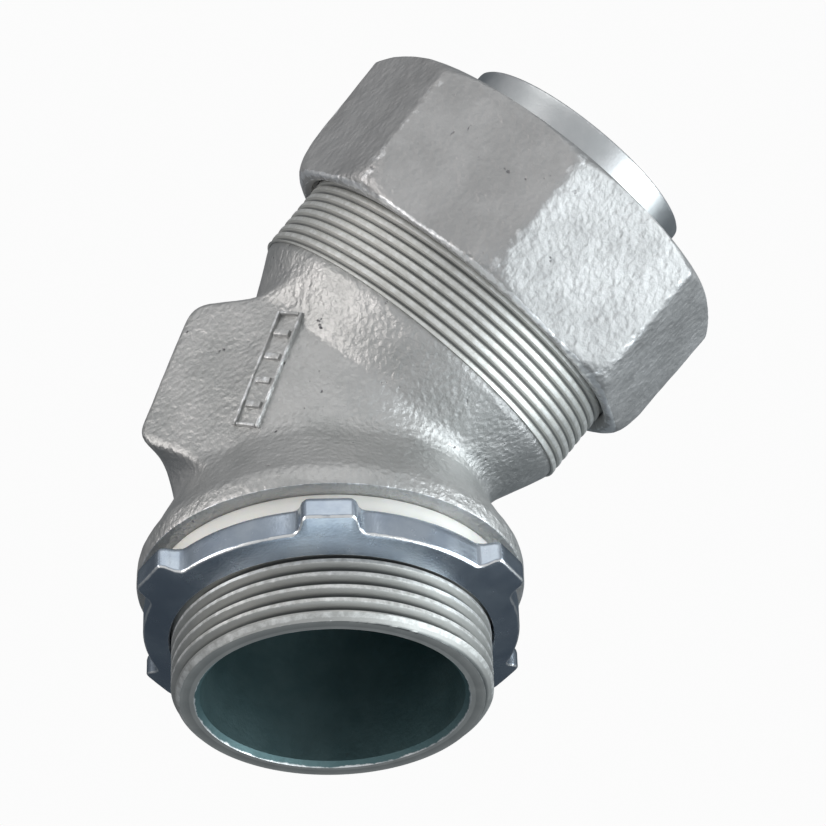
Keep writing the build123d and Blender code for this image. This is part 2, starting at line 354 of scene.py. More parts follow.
def make_edge_wear_and_highlight():
    """Mask of pale metal along edges and crests, broken up by noise: partly rubbed wear, partly painted
    highlight on rounded edges.
    """
    tree, given, result = new_group(
        "edge_wear_and_highlight",
        [("Start", "NodeSocketFloat", 0.6), ("Broken", "NodeSocketFloat", 0.5),
         ("Scale", "NodeSocketFloat", 1.0)],
        [("Mask", "NodeSocketFloat"), ("Wear_and_light", "NodeSocketFloat")],
    )
    worn_and_lit = tree.nodes.new("ShaderNodeAttribute")
    worn_and_lit.attribute_name = "wear_and_painted_light"
    patches = noise_socket(tree, object_millimetres(tree), given.outputs["Scale"], 3.0, 0.6)
    dip = maths(tree, "MULTIPLY", maths(tree, "SUBTRACT", patches, 0.5), given.outputs["Broken"])
    level = maths(tree, "SUBTRACT", maths(tree, "ADD", worn_and_lit.outputs["Fac"], dip), given.outputs["Start"])
    mask = maths(tree, "MULTIPLY", level, 5.0, clamp=True)
    tree.links.new(mask, result.inputs["Mask"])
    tree.links.new(worn_and_lit.outputs["Fac"], result.inputs["Wear_and_light"])
    return tree


def make_zinc_tone():
    """Cloudy zinc: base colour and roughness that drift from place to place."""
    tree, given, result = new_group(
        "zinc_tone",
        [("Plain", "NodeSocketColor", (0.5, 0.5, 0.5, 1)), ("Clouded", "NodeSocketColor", (0.6, 0.6, 0.6, 1)),
         ("Scale", "NodeSocketFloat", 0.12), ("Rough", "NodeSocketFloat", 0.4),
         ("Drift", "NodeSocketFloat", 0.1)],
        [("Color", "NodeSocketColor"), ("Roughness", "NodeSocketFloat")],
    )
    where = object_millimetres(tree)
    clouds = span(tree, noise_socket(tree, where, given.outputs["Scale"], 4.0, 0.6), 0.35, 0.65)
    colour = blend_colours(tree, clouds, given.outputs["Plain"], given.outputs["Clouded"])
    smudges = noise_socket(tree, where, 0.35, 3.0, 0.6)
    drift = maths(tree, "MULTIPLY", maths(tree, "SUBTRACT", smudges, 0.5), given.outputs["Drift"])
    tree.links.new(colour, result.inputs["Color"])
    tree.links.new(maths(tree, "ADD", given.outputs["Rough"], drift), result.inputs["Roughness"])
    return tree


cast_grain = make_cast_grain()
edge_wear_and_highlight = make_edge_wear_and_highlight()
zinc_tone = make_zinc_tone()


def use_group(tree, group, **values):
    made = tree.nodes.new("ShaderNodeGroup")
    made.node_tree = group
    for label, value in values.items():
        made.inputs[label].default_value = value
    return made


def plain_material(name, metallic, specular=0.5):
    material = bpy.data.materials.new(name)
    material.use_nodes = True
    tree = material.node_tree
    shader = tree.nodes["Principled BSDF"]
    shader.inputs["Metallic"].default_value = metallic
    shader.inputs["Specular IOR Level"].default_value = specular
    return material, tree, shader


def bump(tree, height, strength, distance):
    made = tree.nodes.new("ShaderNodeBump")
    made.inputs["Strength"].default_value = strength
    made.inputs["Distance"].default_value = distance * MM
    tree.links.new(height, made.inputs["Height"])
    return made.outputs["Normal"]


def cast_zinc(name, plain, clouded, rough, grain_scale, coarse, depth, pits=0.6):
    """Zinc-coated casting: grain, cloudy tone, pits, and pale edges that are partly rubbed wear and partly
    painted highlight.
    """
    material, tree, shader = plain_material(name, metallic=0.86)
    tone = use_group(tree, zinc_tone, Plain=plain, Clouded=clouded, Scale=0.10, Rough=rough, Drift=0.22)
    grain = use_group(tree, cast_grain, Scale=grain_scale, Coarse=coarse, Pits=pits)
    rub_and_highlight = use_group(tree, edge_wear_and_highlight, Start=0.75, Broken=0.9, Scale=0.5)
    # pale edge colour: partly rubbed metal, partly painted highlight
    rubbed_and_highlit = blend_colours(tree, rub_and_highlight.outputs["Mask"], tone.outputs["Color"], (0.86, 0.87, 0.88, 1))
    pitted = blend_colours(tree, grain.outputs["Pits"], rubbed_and_highlit, (0.10, 0.10, 0.11, 1))
    tree.links.new(pitted, shader.inputs["Base Color"])
    shine = maths(tree, "MULTIPLY", rub_and_highlight.outputs["Mask"], 0.12)
    tree.links.new(maths(tree, "SUBTRACT", tone.outputs["Roughness"], shine), shader.inputs["Roughness"])
    tree.links.new(bump(tree, grain.outputs["Height"], 0.75, depth), shader.inputs["Normal"])
    return material


def threaded_zinc(name, root, crest, rough):
    """Cut and coated thread with nicks: the dark root colour is painted shade in the thread roots, and the pale
    crests are partly painted highlight.
    """
    material, tree, shader = plain_material(name, metallic=0.8)
    tone = use_group(tree, zinc_tone, Plain=crest, Clouded=tuple(0.93 * c for c in crest[:3]) + (1,),
                     Scale=0.2, Rough=rough, Drift=0.2)
    rub_and_highlight = use_group(tree, edge_wear_and_highlight, Start=0.92, Broken=0.5, Scale=0.8)
    lit = span(tree, rub_and_highlight.outputs["Wear_and_light"], 0.05, 0.50)
    # root colour is painted shade in the thread roots, blending to the crest colour on the crests
    colour = blend_colours(tree, lit, root, tone.outputs["Color"])
    colour = blend_colours(tree, rub_and_highlight.outputs["Mask"], colour, (0.84, 0.85, 0.84, 1))
    tree.links.new(colour, shader.inputs["Base Color"])
    tree.links.new(tone.outputs["Roughness"], shader.inputs["Roughness"])
    grain = use_group(tree, cast_grain, Scale=2.2, Coarse=0.2, Pits=0.3)
    tree.links.new(bump(tree, grain.outputs["Height"], 0.5, 0.05), shader.inputs["Normal"])
    return material


def plated_zinc(name, plain, clouded, rough, streak):
    """Bright plated sheet steel with faint drawing lines, and pale edges that are partly sheared metal and
    partly painted highlight.
    """
    material, tree, shader = plain_material(name, metallic=0.95)
    tone = use_group(tree, zinc_tone, Plain=plain, Clouded=clouded, Scale=0.16, Rough=rough, Drift=0.16)
    rub_and_highlight = use_group(tree, edge_wear_and_highlight, Start=0.7, Broken=0.7, Scale=0.9)
    # pale edge colour: partly sheared metal, partly painted highlight
    colour = blend_colours(tree, rub_and_highlight.outputs["Mask"], tone.outputs["Color"], (0.92, 0.93, 0.94, 1))
    tree.links.new(colour, shader.inputs["Base Color"])
    tree.links.new(tone.outputs["Roughness"], shader.inputs["Roughness"])
    grain = use_group(tree, cast_grain, Scale=streak, Coarse=0.1, Pits=0.2)
    tree.links.new(bump(tree, grain.outputs["Height"], 0.4, 0.05), shader.inputs["Normal"])
    return material


def nylon(name, plain, clouded):
    """Natural nylon, faintly waxy."""
    material, tree, shader = plain_material(name, metallic=0.0, specular=0.4)
    shader.inputs["Subsurface Weight"].default_value = 0.15
    shader.inputs["Subsurface Radius"].default_value = (0.003, 0.002, 0.001)
    tone = use_group(tree, zinc_tone, Plain=plain, Clouded=clouded, Scale=0.1, Rough=0.42, Drift=0.15)
    tree.links.new(tone.outputs["Color"], shader.inputs["Base Color"])
    tree.links.new(tone.outputs["Roughness"], shader.inputs["Roughness"])
    grain = use_group(tree, cast_grain, Scale=1.2, Coarse=0.1, Pits=0.0)
    tree.links.new(bump(tree, grain.outputs["Height"], 0.3, 0.03), shader.inputs["Normal"])
    return material


body_zinc = cast_zinc("body_zinc", (0.44, 0.445, 0.44, 1), (0.53, 0.53, 0.525, 1),
                      rough=0.48, grain_scale=1.2, coarse=0.75, depth=0.24, pits=0.9)
nut_zinc = cast_zinc("nut_zinc", (0.41, 0.41, 0.41, 1), (0.49, 0.49, 0.49, 1),
                     rough=0.56, grain_scale=1.0, coarse=0.85, depth=0.26, pits=0.6)
# first colour is painted shade for the thread roots
thread_zinc = threaded_zinc("thread_zinc", (0.22, 0.225, 0.225, 1), (0.64, 0.64, 0.61, 1), rough=0.50)
# darker copy of the gland thread material: painted shade on the hub thread and hub end face
hub_thread_zinc_painted_shade = threaded_zinc("hub_thread_zinc_painted_shade", (0.17, 0.18, 0.18, 1), (0.50, 0.505, 0.49, 1), rough=0.48)
# dark teal colour is painted shade inside the bore, tinted as a painted reflection of the surroundings
bore_zinc_painted_shade = cast_zinc("bore_zinc_painted_shade", (0.095, 0.165, 0.175, 1), (0.125, 0.20, 0.21, 1),
                      rough=0.55, grain_scale=1.2, coarse=0.4, depth=0.08, pits=0.2)
# the blue tint is a painted reflection of the dark surroundings on the plating
locknut_zinc = plated_zinc("locknut_zinc", (0.37, 0.43, 0.51, 1), (0.47, 0.53, 0.60, 1), rough=0.25, streak=2.4)
ferrule_zinc = plated_zinc("ferrule_zinc", (0.60, 0.62, 0.63, 1), (0.68, 0.69, 0.70, 1), rough=0.34, streak=2.4)
washer_nylon = nylon("washer_nylon", (0.86, 0.86, 0.82, 1), (0.92, 0.91, 0.87, 1))
ring_nylon = nylon("ring_nylon", (0.80, 0.80, 0.74, 1), (0.86, 0.85, 0.80, 1))


# ---- body: one stack of rings from the hub end round the bend to the gland and back inside --
def flange_profile(height):
    """Radius of the flange, its flare and the neck at a height above the seat."""
    heights = [0.0, 2.6, 3.6, 4.6, 5.6, 7.0, 8.5, 10.0, 11.5, 13.0, 15.0, 17.0, 30.0]
    radii = [29.5, 29.5, 29.25, 28.75, 28.15, 27.35, 26.6, 25.85, 25.15, 24.5, 23.95, 23.7, 23.7]
    return np.interp(height, heights, radii)


def gland_profile(station):
    """Radius of the neck, the cone and the collar at a distance along the gland axis."""
    stations = [0.0, 10.2, 19.3, 30.0]
    radii = [neck_radius, neck_radius, collar_radius, collar_radius]
    return np.interp(station, stations, radii)


def casting_distance(points):
    """Roughly the distance from points to the outside of the casting, negative inside."""
    local = points - bend
    radial = np.hypot(points[..., 0], points[..., 1])
    ball = np.linalg.norm(local, axis=-1) - neck_radius
    tube = (radial - flange_profile(points[..., 2])) * 0.86
    hub = np.where(points[..., 2] > bend[2], ball, tube)
    station = local @ gland_axis
    off = np.linalg.norm(local - station[..., None] * gland_axis, axis=-1)
    gland = np.where(station < 0.0, ball, (off - gland_profile(station)) * 0.92)
    tubes = soft_min(hub, gland, 3.0)
    u = local @ heel
    w = np.abs(local @ along_pad)
    v = np.abs(local[..., 1])
    sloped = w * math.cos(pad_slope) + (u - pad_slope_from) * math.sin(pad_slope)
    ends = soft_max(sloped - pad_half_length * math.cos(pad_slope),
                    (u + w - pad_reach - pad_corner_at) * 0.7071, 0.8)
    pad = soft_max(soft_max(ends, u - pad_reach, 1.0), v - pad_half_width, 1.3)
    pad = soft_max(pad, -u - 5.2, 2.0)
    # the flats stay flat, and the ends of the pad run into the tubes with a cast fillet
    fillet = 0.7 + 2.9 * smooth_step(ends, -3.0, 0.5)
    return soft_min(tubes, pad, fillet)


def cast_ring(stack, centre, side):
    """Ring of points where rays from the centre leave the casting."""
    rays = np.outer(np.cos(stack.angles), side) + np.outer(np.sin(stack.angles), across)
    reach = np.full(stack.angles.shape, 40.0)
    for _ in range(90):
        reach = reach - 0.75 * casting_distance(centre + rays * reach[:, None])
    points = centre + rays * reach[:, None]
    away = casting_distance(points + rays * 0.9) / 0.9
    return points, rays, np.clip((away - 0.9) * 3.0, 0.0, 1.0)


fan_height = 12.0
fan_radius = (bend[2] - fan_height) / math.tan(bend_angle / 2)
fan_pivot = np.array([fan_radius, 0.0, fan_height])


def fan_centre(angle):
    """Centre of a section round the bend, and the direction of its inner side."""
    side = np.array([math.cos(angle), 0.0, -math.sin(angle)])
    return fan_pivot - fan_radius * side, side


def build_body():
    pad_corner = math.atan2(pad_half_width, -pad_reach)
    angles = crowded_angles(256, [pad_corner, FULL_TURN - pad_corner], math.radians(16), 2.2)
    stack = Stack(angles, (0, 0, 0), up, sideways)
    # the sections run with the angles measured from the inner side of the bend, toward +Y
    # the bore slot takes the painted-shade bore material, and hub_cut the darker painted-shade copy of the
    # thread
    metal, cut, bore, hub_cut = 0, 1, 2, 3

    def hub_limit(height):
        return hub_radius - hub_chamfer + (height + hub_end)

    stack.corner(throat_radius + throat_chamfer, -hub_end, 1.0, hub_cut)
    stack.ring(throat_radius + 1.6, -hub_end, 0.3, hub_cut)
    stack.ring(hub_radius - hub_chamfer - 0.5, -hub_end, 0.4, hub_cut)
    stack.corner(hub_radius - hub_chamfer, -hub_end, 1.0, hub_cut)
    stack.thread(hub_radius, hub_depth, hub_pitch, -hub_end + 0.001, -0.5, 0.24, steps=9,
                 start=-hub_first_crest, limit=hub_limit, slot=hub_cut)
    root = hub_radius - hub_depth
    stack.ring(root, -0.25, 0.0, hub_cut)
    stack.ring(root + 0.4, 0.0, 0.0, metal)
    stack.ring(flange_radius - 0.5, 0.0, 0.4, metal)
    stack.ring(flange_radius - 0.12, 0.15, 0.9, metal)

    def cast(centre, side):
        points, rays, edge = cast_ring(stack, centre, side)
        swell = 0.07 * lumps(points, 5.0) + 0.05 * lumps(points, 2.2, 9.0)
        stack.add(points + rays * swell[:, None], edge, metal)

    for height in np.concatenate([[0.5, 1.0], np.linspace(1.6, fan_height, 22)]):
        cast(np.array([0.0, 0.0, height]), sideways)
    for angle in np.linspace(0.0, bend_angle, 62)[1:-1]:
        cast(*fan_centre(angle))
    side = gland_side if gland_side[0] > 0 else -gland_side
    for station in np.linspace(bend[2] - fan_height, gland_start - 0.25, 16):
        cast(bend + station * gland_axis, side)

    stack.origin = bend
    stack.axis = gland_axis
    stack.side = side
    stack.other = across
    stack.ring(collar_radius, gland_start, 0.3, metal)
    stack.ring(gland_radius - gland_depth, gland_start + 0.02, 0.0, cut)
    stack.thread(gland_radius, gland_depth, gland_pitch, gland_start + 0.03, gland_end - 0.4, 0.40, steps=8,
                 start=gland_start + 0.35, slot=cut)
    stack.ring(gland_radius - gland_depth - 0.4, gland_end, 0.6, cut)
    stack.ring(mouth_lip, gland_end, 0.8, cut)
    stack.ring(mouth_radius, gland_end - mouth_taper, 0.0, cut)
    stack.ring(mouth_radius, mouth_seat, 0.0, cut)
    stack.ring(lip_radius, mouth_seat, 0.3, cut)
    stack.ring(lip_radius, lip_start, 0.0, bore)
    for station in np.linspace(lip_start - lip_ease, bend[2] - fan_height, 6):
        stack.ring(throat_radius, station, 0.0, bore)
    for angle in np.linspace(bend_angle, 0.0, 14)[1:]:
        centre, inner_side = fan_centre(angle)
        rays = np.outer(np.cos(angles), inner_side) + np.outer(np.sin(angles), across)
        stack.add(centre + rays * throat_radius, 0.0, bore)
    stack.origin = np.zeros(3)
    stack.axis = up
    stack.side = sideways
    for height in np.linspace(fan_height, -hub_end + throat_chamfer, 16)[1:]:
        stack.ring(throat_radius, height, 0.0, bore)
    return stack.build("body_casting", [body_zinc, thread_zinc, bore_zinc_painted_shade, hub_thread_zinc_painted_shade],
                       "body", ["body"], sharp=32.0)


def build_panel():
    """Plain raised border with short bars on the near flat of the pad."""
    half_width, half_length, border = 2.45, 10.2, 0.72
    rise, sink, draft = 1.0, 0.5, 0.16
    offset, shift = -1.1, 1.6
    mesh = bpy.data.meshes.new("raised_panel")
    bm = bmesh.new()

    def spot(x, y, lift):
        return (bend + (offset + x) * heel + (shift + y) * along_pad
                + across * -(pad_half_width + lift)) * MM

    def bar(low_x, high_x, low_y, high_y, top):
        bottom = [spot(x, y, -sink) for x, y in
                  ((low_x, low_y), (high_x, low_y), (high_x, high_y), (low_x, high_y))]
        crown = [spot(x, y, top) for x, y in
                 ((low_x + draft, low_y + draft), (high_x - draft, low_y + draft),
                  (high_x - draft, high_y - draft), (low_x + draft, high_y - draft))]
        feet = [bm.verts.new(p) for p in bottom]
        heads = [bm.verts.new(p) for p in crown]
        bm.faces.new(feet[::-1])
        bm.faces.new(heads)
        for i in range(4):
            bm.faces.new((feet[i], feet[(i + 1) % 4], heads[(i + 1) % 4], heads[i]))

    bar(-half_width, -half_width + border, -half_length, half_length, rise)
    bar(half_width - border, half_width, -half_length, half_length, rise * 0.8)
    inner = half_width - border + 0.1
    bar(-inner, inner, -half_length, -half_length + border, rise * 0.9)
    bar(-inner, inner, half_length - border, half_length, rise * 0.9)
    bar_pitch = (2 * half_length - 2 * border) / 4.5
    for index in range(4):
        middle = (index - 1.5) * bar_pitch
        bar(-half_width + 1.0, half_width - 1.0, middle - 0.65, middle + 0.65, rise * 0.95)
    bmesh.ops.recalc_face_normals(bm, faces=bm.faces)
    bmesh.ops.bevel(bm, geom=list(bm.edges), offset=0.13 * MM, segments=2, affect="EDGES", profile=0.6)
    wear_and_light_layer = bm.verts.layers.float.new("wear_and_painted_light")
    for vertex in bm.verts:
        lift = -(vertex.co.y / MM + pad_half_width)
        vertex[wear_and_light_layer] = 0.8 if lift > 0.25 else 0.1
    for face in bm.faces:
        face.smooth = True
    bm.to_mesh(mesh)
    bm.free()
    mesh.set_sharp_from_angle(angle=math.radians(40))
    return finish_piece("raised_panel", mesh, [body_zinc], "body", [])


# ---- gland nut ------------------------------------------------------------------------------
def build_gland_nut():
    corners = [nut_turned + k * FULL_TURN / 8 for k in range(8)]
    flats = [nut_turned + (k + 0.5) * FULL_TURN / 8 for k in range(8)]
    side = gland_side if gland_side[0] > 0 else -gland_side
    angles = crowded_angles(256, corners, math.radians(5), 2.4)
    stack = Stack(angles, bend, gland_axis, side)
    stack.other = np.cross(gland_axis, side)
    facing = np.array([np.clip(np.cos(angles - flat), 0.0, None) for flat in flats])
    sharpness = 150.0
    support = (facing ** sharpness).sum(axis=0) ** (1 / sharpness)
    near_corner = smooth_step(1 / support, 1.055, 1.075)

    def near_end(station):
        stations = [31.35, 31.55, 31.9, 32.5, 33.3, 34.4, 35.8, 37.4, 39.0]
        radii = [30.35, 31.05, 31.75, 32.4, 32.85, 33.25, 33.65, 34.2, 36.5]
        return np.interp(station, stations, radii)

    def far_end(station):
        return np.interp(station, [52.2, 53.4, 54.4, 55.1, 55.7], [37.0, 34.6, 33.5, 32.7, 31.6])

    stack.corner(nut_bore + 1.15, nut_start + 0.12, 0.7)
    stack.ring(nut_bore + 1.4, nut_start, 0.9)
    for station in np.concatenate([np.linspace(31.36, 34.0, 12), np.linspace(34.5, 51.5, 30),
                                   np.linspace(52.0, 55.7, 14)]):
        eight = (nut_flat + nut_draft * (station - 32.0)) / support
        reach = soft_min(eight, near_end(station), 0.7)
        reach = soft_min(reach, far_end(station), 0.5)
        points = stack.place(reach, station)
        swell = 0.09 * lumps(points, 7.0, 3.0) + 0.05 * lumps(points, 2.4, 5.0)
        rim = float(np.clip(1.2 - abs(station - 31.8) / 0.8, 0.0, 1.0))
        points = stack.place(reach + swell, station)
        # corners and the near rim are marked pale: partly wear, partly painted highlight on the rounded rim and
        # corners
        stack.add(points, np.maximum(near_corner * 0.75, rim))
    stack.ring(nut_mouth + 1.0, nut_end + 0.02, 0.4)
    stack.ring(nut_mouth + 0.35, nut_end - 0.2, 0.8)
    stack.ring(nut_mouth, nut_end - 0.8, 0.3)
    stack.ring(nut_mouth, nut_end - nut_lip + 0.4, 0.0)
    stack.ring(nut_mouth + 0.4, nut_end - nut_lip, 0.0)
    stack.ring(nut_relief, nut_end - nut_lip, 0.0)
    stack.ring(nut_relief, 47.2, 0.0)
    stack.ring(nut_bore, 46.9, 0.0)
    internal = Stack(angles, bend, gland_axis, side)
    internal.thread(nut_bore, -gland_depth, gland_pitch, nut_start + 1.2, 46.8, 0.3, steps=5,
                    start=gland_start + 0.35 + gland_pitch / 2)
    stack.rings += internal.rings[::-1]
    stack.wear_and_painted_light += [worn_and_lit * 0.5 for worn_and_lit in internal.wear_and_painted_light[::-1]]
    stack.slots += internal.slots
    stack.ring(nut_bore + 0.5, nut_start + 0.6, 0.2)
    return stack.build("gland_nut_casting", [nut_zinc], "gland_nut", ["gland_nut"],
                       sharp=34.0)


# ---- sealing ring, ferrule, washer -------------------------------------------------------------
def turned(name, outline, origin, axis, side, material, body, nodes, count=192):
    """Closed turned piece from (radius, height, wear and painted light) points taken in order round its
    section.
    """
    stack = Stack(even_angles(count), origin, axis, side)
    for radius, height, worn_and_lit in outline:
        stack.ring(radius, height, worn_and_lit)
    return stack.build(name, [material], body, nodes, sharp=30.0)


def rounded(radius, height, inward, outward, size):
    """Two short steps that round the corner between two directions of a section."""
    steps = []
    for share in (0.0, 0.3, 0.7, 1.0):
        a = (1 - share) ** 2
        b = share ** 2
        steps.append((radius + size * (a * inward[0] + b * outward[0]),
                      height + size * (a * inward[1] + b * outward[1]), 0.7))
    return steps


def build_ferrule(side):
    inner = sleeve_radius - sleeve_wall
    foot = mouth_seat + 0.05
    outline = [(inner, foot + 0.5, 0.0)]
    outline += rounded(inner, foot, (0, 1), (1, 0), 0.4)
    outline += rounded(cup_radius, foot, (-1, 0), (0, 1), 0.5)
    outline += rounded(cup_radius, foot + cup_depth, (0, -1), (-1, 0), 0.3)
    outline += rounded(cup_radius - cup_wall, foot + cup_depth, (1, 0), (0, -1), 0.3)
    outline += rounded(cup_radius - cup_wall, foot + cup_wall, (0, 1), (-1, 0), 0.3)
    outline += rounded(sleeve_radius, foot + cup_wall, (1, 0), (0, 1), 0.4)
    outline += [(sleeve_radius, h, 0.0) for h in np.linspace(foot + 3.0, sleeve_end - 1.5, 12)]
    outline += rounded(sleeve_radius, sleeve_end, (0, -1), (-1, 0), 0.45)
    outline += rounded(inner, sleeve_end, (1, 0), (0, -1), 0.45)
    outline += [(inner, h, 0.0) for h in np.linspace(sleeve_end - 1.5, foot + 1.5, 12)]
    return turned("ferrule_sleeve", outline, bend, gland_axis, side, ferrule_zinc, "ferrule", ["ferrule"])


def build_sealing_ring(side):
    bore, back, face, tip = 24.65, 51.40, 46.80, 42.60
    nose = bore + 0.75 + (face - tip) * math.tan(math.radians(20))
    outer = nut_bore - 0.25
    outline = rounded(bore, tip, (0, 1), (1, 0), 0.25)
    outline += rounded(bore + 0.75, tip, (-1, 0), (0.34, 0.94), 0.25)
    outline += [(nose, face, 0.0)]
    outline += rounded(outer, face, (-1, 0), (0, 1), 0.35)
    outline += rounded(outer, back, (0, -1), (-1, 0), 0.35)
    outline += rounded(bore, back, (1, 0), (0, -1), 0.35)
    return turned("sealing_ring_nylon", outline, bend, gland_axis, side, ring_nylon, "sealing_ring",
                  ["sealing_ring"])


def build_washer():
    rear, front = -washer_rear, -washer_rear - washer_thickness
    outline = rounded(washer_inner, rear, (0, -1), (1, 0), 0.2)
    outline += rounded(washer_outer, rear, (-1, 0), (0, -1), 0.45)
    outline += rounded(washer_outer, front, (0, 1), (-1, 0), 0.45)
    outline += rounded(washer_inner, front, (1, 0), (0, 1), 0.2)
    return turned("sealing_washer_nylon", outline, (0, 0, 0), up, sideways, washer_nylon, "sealing_washer",
                  ["sealing_washer"])


# ---- locknut: dished ring with lugs ------------------------------------------------------------
def locknut_outline():
    """Points round the lugs as (x, y), and the outward direction at each."""
    corner = 0.75
    path = []
    for k in range(lug_count):
        middle = lug_turned + k * FULL_TURN / lug_count
        half_gap = FULL_TURN / lug_count / 2
        root_angle = math.asin(lug_root_half / locknut_root)
        tip = locknut_root + lug_reach
        tip_radius = math.hypot(tip, lug_tip_half)
        tip_angle = math.asin(lug_tip_half / tip_radius)
        for angle in np.linspace(-half_gap, -root_angle - 0.03, 8)[:-1]:
            path.append((locknut_root, middle + angle))
        path.append((locknut_root, middle - root_angle - 0.03))
        path.append((locknut_root + 0.12, middle - root_angle - 0.012))
        for share in (0.25, 0.5, 0.75):
            path.append((locknut_root + share * (tip_radius - locknut_root),
                         middle - root_angle + share * (root_angle - tip_angle)))
        for share in np.linspace(0.0, 1.0, 5):
            angle = -tip_angle - 0.004 + share * corner / tip
            easing = corner * 0.72 * (1 - share) ** 2 + 0.15 * share
            path.append((tip_radius - easing, middle + angle))
        for angle in np.linspace(-tip_angle + corner / tip + 0.006, 0.0, 6):
            path.append((tip / math.cos(angle) - 0.02, middle + angle))
    half = list(path)
    full = []
    per_lug = len(half) // lug_count
    for k in range(lug_count):
        middle = lug_turned + k * FULL_TURN / lug_count
        left = half[k * per_lug:(k + 1) * per_lug]
        full += left
        full += [(radius, 2 * middle - angle) for radius, angle in left[-2:0:-1]]
    radii = np.array([radius for radius, _ in full])
    angles = np.array([angle for _, angle in full])
    xy = np.stack([radii * np.cos(angles), radii * np.sin(angles)], axis=1)
    ahead = np.roll(xy, -1, axis=0) - np.roll(xy, 1, axis=0)
    outward = np.stack([ahead[:, 1], -ahead[:, 0]], axis=1)
    outward /= np.linalg.norm(outward, axis=1)[:, None]
    return xy, outward, angles


def build_locknut():
    xy, outward, angles = locknut_outline()
    closed = np.append(angles, angles[0] + FULL_TURN)
    stack = Stack(closed, (0, 0, 0), up, sideways)
    xy = np.vstack([xy, xy[:1]])
    outward = np.vstack([outward, outward[:1]])
    front = -locknut_rear - locknut_depth

    def cone(radius):
        return front + np.maximum(radius - locknut_bore - 0.3, 0.0) * dish

    def edge_ring(inset, lift, on_cone, worn_and_lit):
        flat = xy - outward * inset
        radius = np.hypot(flat[:, 0], flat[:, 1])
        height = cone(radius) + lift if on_cone else np.full(len(flat), -locknut_rear - lift)
        stack.add(np.column_stack([flat, height]), worn_and_lit)

    def mid_ring(share, on_cone, worn_and_lit=0.0):
        inner = locknut_bore + 0.3
        radius = np.hypot(xy[:, 0], xy[:, 1]) - 0.3
        reach = inner + share * (np.minimum(radius, locknut_root - 0.4) - inner)
        height = cone(reach) if on_cone else np.full(len(xy), -locknut_rear)
        flat = np.column_stack([reach * np.cos(closed), reach * np.sin(closed)])
        stack.add(np.column_stack([flat, height]), worn_and_lit)

    mid_ring(0.0, False)
    mid_ring(0.9, False)
    edge_ring(0.75, 0.0, False, 0.3)
    edge_ring(0.35, 0.12, False, 0.6)
    edge_ring(0.1, 0.4, False, 0.6)
    edge_ring(0.0, 0.85, False, 0.3)
    edge_ring(0.0, 1.5, False, 0.1)
    edge_ring(0.0, 0.5, True, 0.25)
    edge_ring(0.0, 0.22, True, 0.9)
    edge_ring(0.12, 0.04, True, 1.0)
    edge_ring(0.35, 0.0, True, 0.6)
    mid_ring(0.9, True)
    mid_ring(0.5, True)
    mid_ring(0.12, True, 0.2)
    mid_ring(0.0, True, 0.8)
    internal = Stack(closed, (0, 0, 0), up, sideways)
    internal.thread(locknut_bore, -hub_depth * 0.9, hub_pitch, front + 0.35, -locknut_rear - 0.35,
                    0.25, steps=8, start=-hub_first_crest + hub_pitch / 2)
    stack.rings += internal.rings
    stack.wear_and_painted_light += [worn_and_lit * 0.5 for worn_and_lit in internal.wear_and_painted_light]
    stack.slots += internal.slots
    return stack.build("locknut_stamping", [locknut_zinc], "locknut", ["locknut"],
                       sharp=36.0)


build_body()
build_panel()
build_gland_nut()
ring_side = gland_side if gland_side[0] > 0 else -gland_side
build_ferrule(ring_side)
build_sealing_ring(ring_side)
build_washer()
build_locknut()

# ---- floor, light and camera -----------------------------------------------------------------
view_azimuth = math.radians(23.407)
view_elevation = math.radians(-34.735)
view_roll = math.radians(-1.904)
view_distance = 521.314
aim_right, aim_up = 12.489, 27.032

level = np.array([math.cos(view_azimuth), math.sin(view_azimuth), 0.0])
toward = np.array([math.sin(view_azimuth) * math.cos(view_elevation),
                   -math.cos(view_azimuth) * math.cos(view_elevation), math.sin(view_elevation)])
rise = np.cross(toward, level)
view_right = math.cos(view_roll) * level + math.sin(view_roll) * rise
view_up = -math.sin(view_roll) * level + math.cos(view_roll) * rise


def make_camera():
    data = bpy.data.cameras.new("camera")
    data.lens = 149.27
    data.sensor_width = 36.0
    data.clip_start, data.clip_end = 0.05, 20.0
    camera = bpy.data.objects.new("camera", data)
    bpy.context.collection.objects.link(camera)
    turn = Matrix((view_right, view_up, toward)).transposed().to_4x4()
    where = (aim_right * view_right + aim_up * view_up + view_distance * toward) * MM
    camera.matrix_world = Matrix.Translation(Vector(where)) @ turn
    bpy.context.scene.camera = camera


def softbox(name, direction, distance, width, tall, watts, colour):
    """Area light in a direction given as (right, up, toward the camera) from the object."""
    data = bpy.data.lights.new(name, "AREA")
    data.shape = "RECTANGLE"
    data.size, data.size_y = width, tall
    data.energy = watts
    data.color = colour
    lamp = bpy.data.objects.new(name, data)
    bpy.context.collection.objects.link(lamp)
    middle = np.array([0.012, 0.0, 0.030])
    away = direction[0] * view_right + direction[1] * view_up + direction[2] * toward
    away = away / np.linalg.norm(away)
    lamp.location = Vector(middle + distance * away)
    lamp.rotation_mode = "QUATERNION"
    lamp.rotation_quaternion = Vector(away).to_track_quat("Z", "Y")


